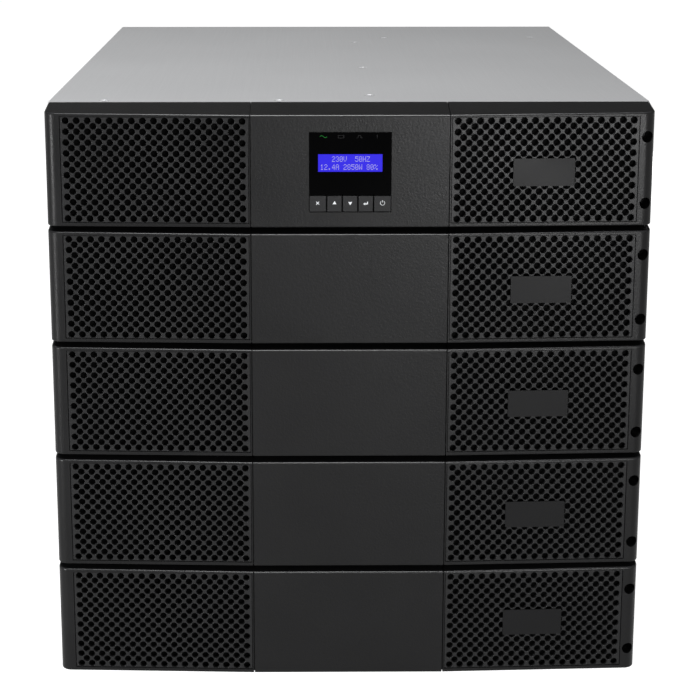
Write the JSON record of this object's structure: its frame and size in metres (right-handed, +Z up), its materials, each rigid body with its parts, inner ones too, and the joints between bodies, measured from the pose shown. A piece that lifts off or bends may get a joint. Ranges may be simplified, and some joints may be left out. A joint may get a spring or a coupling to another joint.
{
  "type": "stacked rack-mount uninterruptible power supply",
  "caption": "Stack of flat rack modules forming an uninterruptible power supply: a power module with display and keys over battery modules, with perforated fronts.",
  "frame": {"origin": "on the floor, midway across the width and midway between the front face and the rearmost fitting", "axes": "+X to the right seen from the front, +Y from the front to the back, +Z up"},
  "size_m": [0.438, 0.608, 0.4325],
  "materials": {
    "case_paint": "fine textured black powder coat",
    "cover_steel": "bare zinc-coated sheet",
    "bezel_plastic": "fine moulded texture",
    "grille_plastic": "fine moulded texture",
    "badge_plate": "satin",
    "housing_plastic": "matt",
    "window": "polished",
    "readout": "backlit",
    "key_plastic": "matt",
    "fan_plastic": "moulded",
    "guard_wire": "plated wire",
    "socket_plastic": "moulded",
    "port_shell": "plated"
  },
  "bodies": {
    "root": {"power_case": "case_paint", "power_cover": "cover_steel", "power_bezel_ends": "bezel_plastic", "power_bezel_centre": "bezel_plastic", "power_grilles": "grille_plastic", "battery_1_case": "case_paint", "battery_1_cover": "cover_steel", "battery_1_bezel_ends": "bezel_plastic", "battery_1_bezel_centre": "bezel_plastic", "battery_1_grilles": "grille_plastic", "battery_2_case": "case_paint", "battery_2_cover": "cover_steel", "battery_2_bezel_ends": "bezel_plastic", "battery_2_bezel_centre": "bezel_plastic", "battery_2_grilles": "grille_plastic", "battery_3_case": "case_paint", "battery_3_cover": "cover_steel", "battery_3_bezel_ends": "bezel_plastic", "battery_3_bezel_centre": "bezel_plastic", "battery_3_grilles": "grille_plastic", "battery_4_case": "case_paint", "battery_4_cover": "cover_steel", "battery_4_bezel_ends": "bezel_plastic", "battery_4_bezel_centre": "bezel_plastic", "battery_4_grilles": "grille_plastic", "badges": "badge_plate", "power_rear_panel": "case_paint", "display_housing": "housing_plastic", "display_glass": "window", "display_lcd": "readout", "fan_frames": "fan_plastic", "fan_rotors": "fan_plastic", "fan_guards": "guard_wire", "outlets": "socket_plastic", "inlet": "socket_plastic", "slot_cover": "cover_steel", "data_port": "port_shell", "battery_sockets": "socket_plastic"},
    "key_escape": {"key_escape": "key_plastic"},
    "key_up": {"key_up": "key_plastic"},
    "key_down": {"key_down": "key_plastic"},
    "key_enter": {"key_enter": "key_plastic"},
    "key_power": {"key_power": "key_plastic"}
  },
  "joints": [
    {"name": "key_escape_press", "type": "slide", "parent": "root", "child": "key_escape", "axis": [0, 1, 0], "range_m": [0, 0.001], "stiffness_N_per_m": 400, "springref_m": -0.0005},
    {"name": "key_up_press", "type": "slide", "parent": "root", "child": "key_up", "axis": [0, 1, 0], "range_m": [0, 0.001], "stiffness_N_per_m": 400, "springref_m": -0.0005},
    {"name": "key_down_press", "type": "slide", "parent": "root", "child": "key_down", "axis": [0, 1, 0], "range_m": [0, 0.001], "stiffness_N_per_m": 400, "springref_m": -0.0005},
    {"name": "key_enter_press", "type": "slide", "parent": "root", "child": "key_enter", "axis": [0, 1, 0], "range_m": [0, 0.001], "stiffness_N_per_m": 400, "springref_m": -0.0005},
    {"name": "key_power_press", "type": "slide", "parent": "root", "child": "key_power", "axis": [0, 1, 0], "range_m": [0, 0.001], "stiffness_N_per_m": 400, "springref_m": -0.0005}
  ]
}
